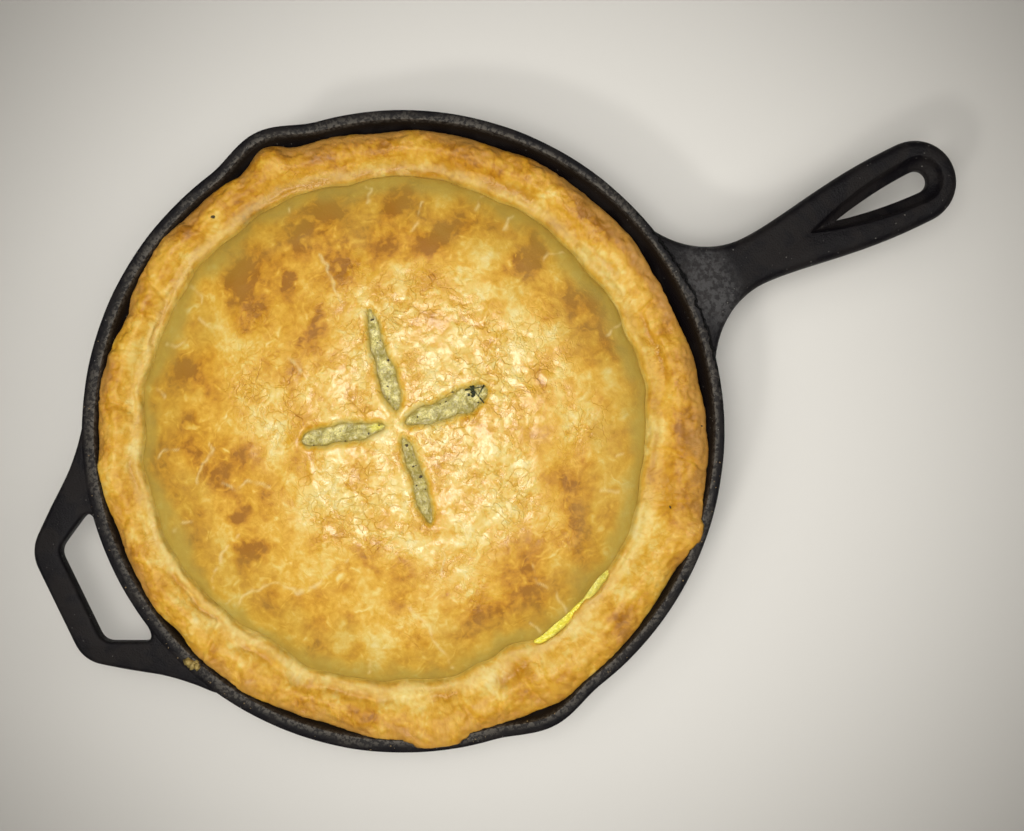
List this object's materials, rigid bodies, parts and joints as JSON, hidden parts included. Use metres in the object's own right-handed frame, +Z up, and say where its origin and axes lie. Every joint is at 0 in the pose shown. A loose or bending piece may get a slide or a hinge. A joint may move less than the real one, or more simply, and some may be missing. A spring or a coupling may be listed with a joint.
{
  "type": "chicken pot pie in a skillet",
  "caption": "Chicken pot pie baked in a round cast-iron skillet, with a domed and vented golden pastry lid, a rolled crust edge, a long handle and a helper handle.",
  "frame": {"origin": "centre of the skillet's flat underside", "axes": "+X along the long handle, away from the pan; +Z up, out of the pie's top; +Y completes a right-handed frame, towards one pour spout"},
  "size_m": [0.4757, 0.3162, 0.066],
  "materials": {
    "iron": "seasoned cast iron, near black, pebbly from the sand mould and worn a little lighter along the rim",
    "pastry": "baked shortcrust pastry, golden, browned in patches, glazed with egg wash",
    "filling": "creamy chicken and vegetable filling, moist, pale yellow-green with dark herb specks"
  },
  "bodies": {
    "root": {"skillet": "iron", "crust": "pastry", "filling": "filling"}
  },
  "joints": []
}
